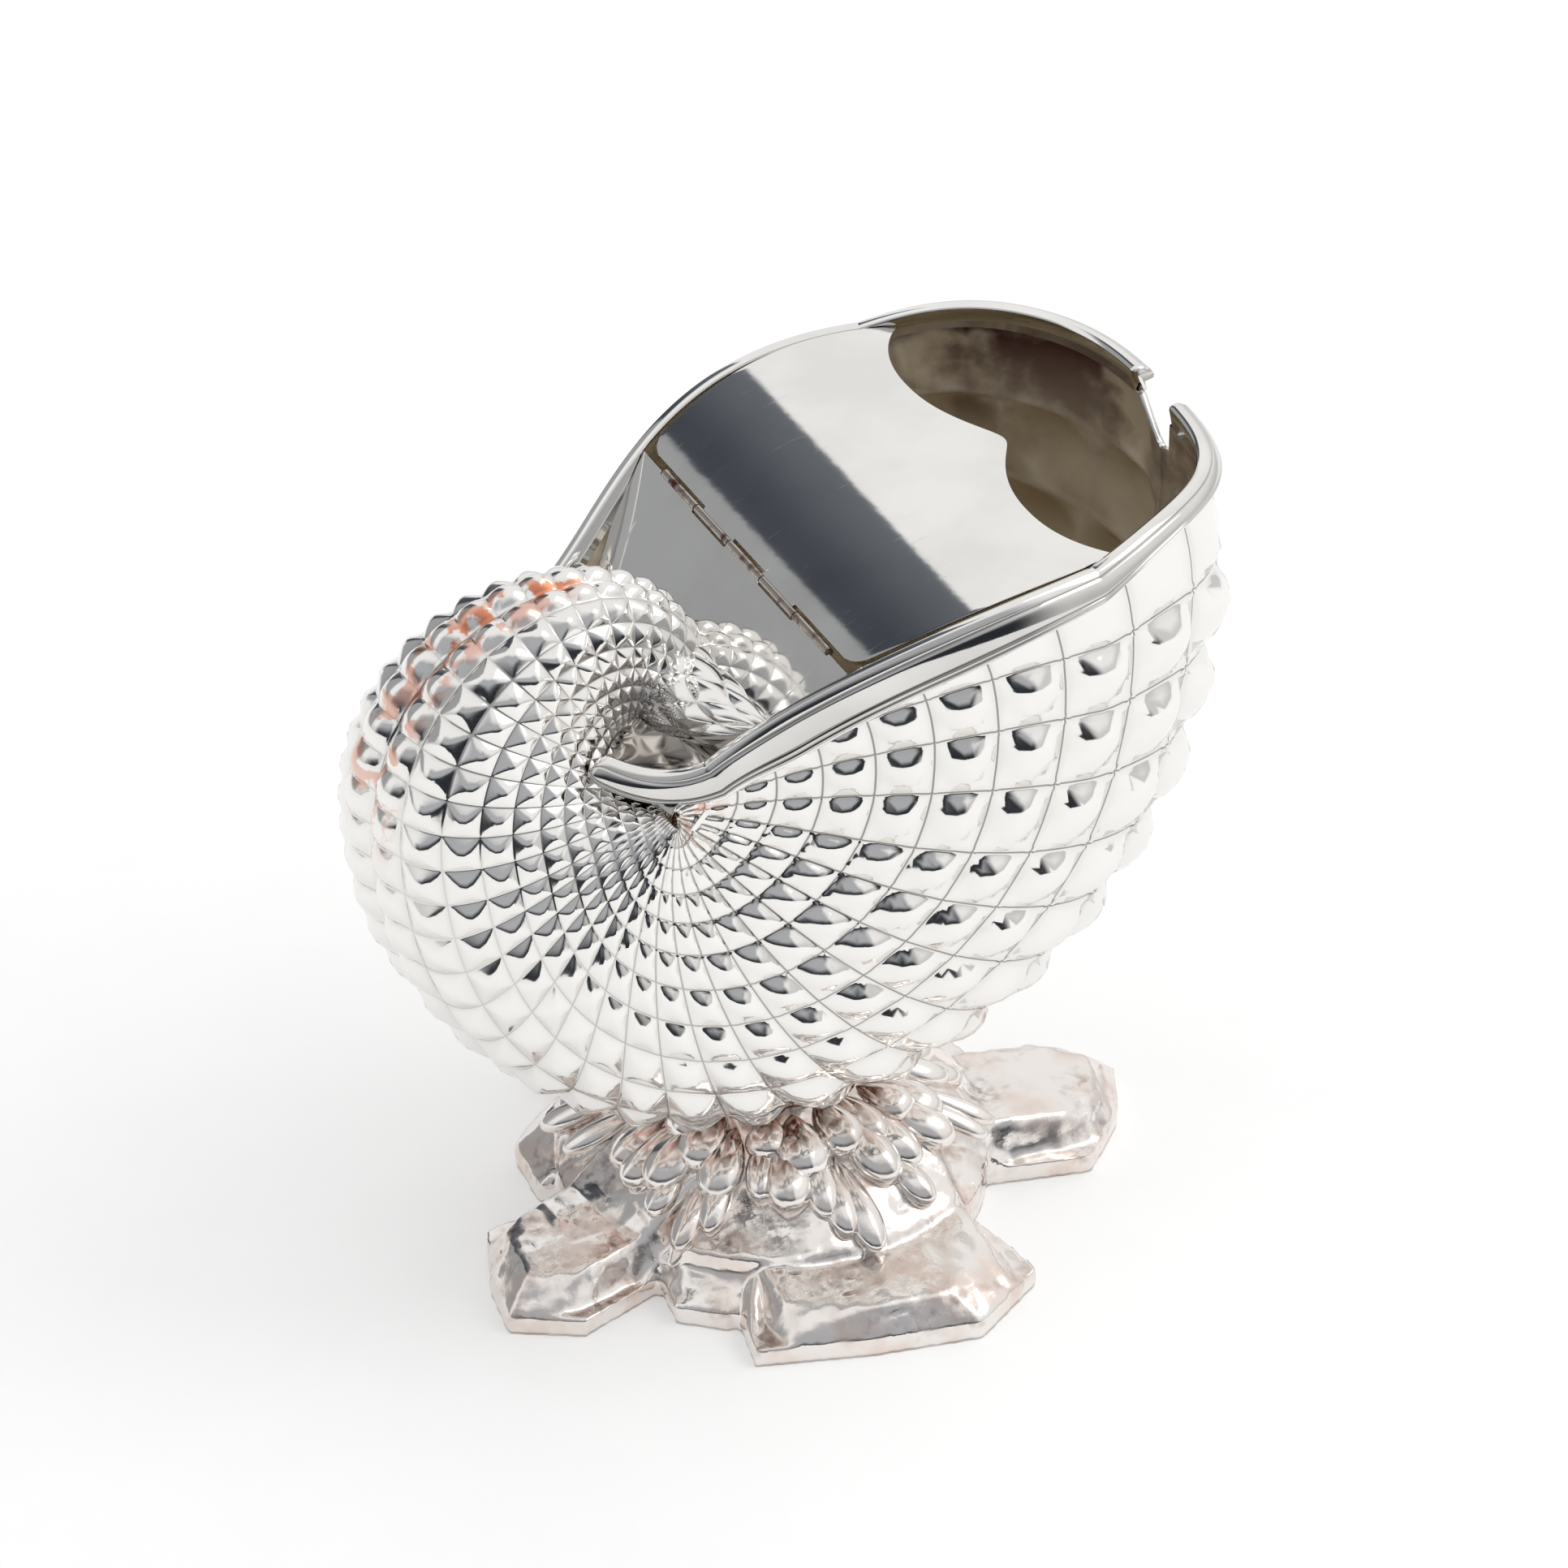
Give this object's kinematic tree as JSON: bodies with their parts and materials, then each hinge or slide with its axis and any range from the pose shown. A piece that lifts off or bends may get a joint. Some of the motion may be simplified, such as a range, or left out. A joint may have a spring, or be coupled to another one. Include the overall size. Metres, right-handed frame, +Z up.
{
  "type": "spoon warmer",
  "caption": "Silver-plated spoon warmer: a studded nautilus shell with a hinged lid over a hot-water bowl, on a cast rock base with seaweed.",
  "frame": {"origin": "on the table under the neck of the rock, which is the middle of the whole piece", "axes": "+X to the mouth, +Y to the left side of the shell, +Z up"},
  "size_m": [0.1663, 0.1249, 0.157],
  "materials": {
    "struck_silver_plate": "polished",
    "polished_silver_plate": "polished",
    "cast_silver_plate": "satin",
    "bare_brass": "satin"
  },
  "bodies": {
    "shell_and_base": {"shell_right_half": "struck_silver_plate", "shell_left_half": "struck_silver_plate", "rim_wire_right": "polished_silver_plate", "rim_wire_left": "polished_silver_plate", "saddle_plate": "polished_silver_plate", "saddle_knuckles": "polished_silver_plate", "hinge_pin": "polished_silver_plate", "inner_whorl": "struck_silver_plate", "neck_collar": "cast_silver_plate", "rock_base": "cast_silver_plate", "seaweed_front": "cast_silver_plate", "seaweed_front_left": "cast_silver_plate", "seaweed_right": "cast_silver_plate", "seaweed_back_right": "cast_silver_plate", "seaweed_back": "cast_silver_plate", "seaweed_back_left": "cast_silver_plate", "fixing_stud": "bare_brass", "fixing_washer": "bare_brass", "fixing_nut": "bare_brass"},
    "lid_flap": {"lid": "polished_silver_plate", "lid_knuckles": "polished_silver_plate"}
  },
  "joints": [
    {"name": "lid_hinge", "type": "hinge", "parent": "shell_and_base", "child": "lid_flap", "pos_m": [-0.005, 0, 0.1421], "axis": [0, -1, 0], "range_deg": [0, 105]}
  ]
}
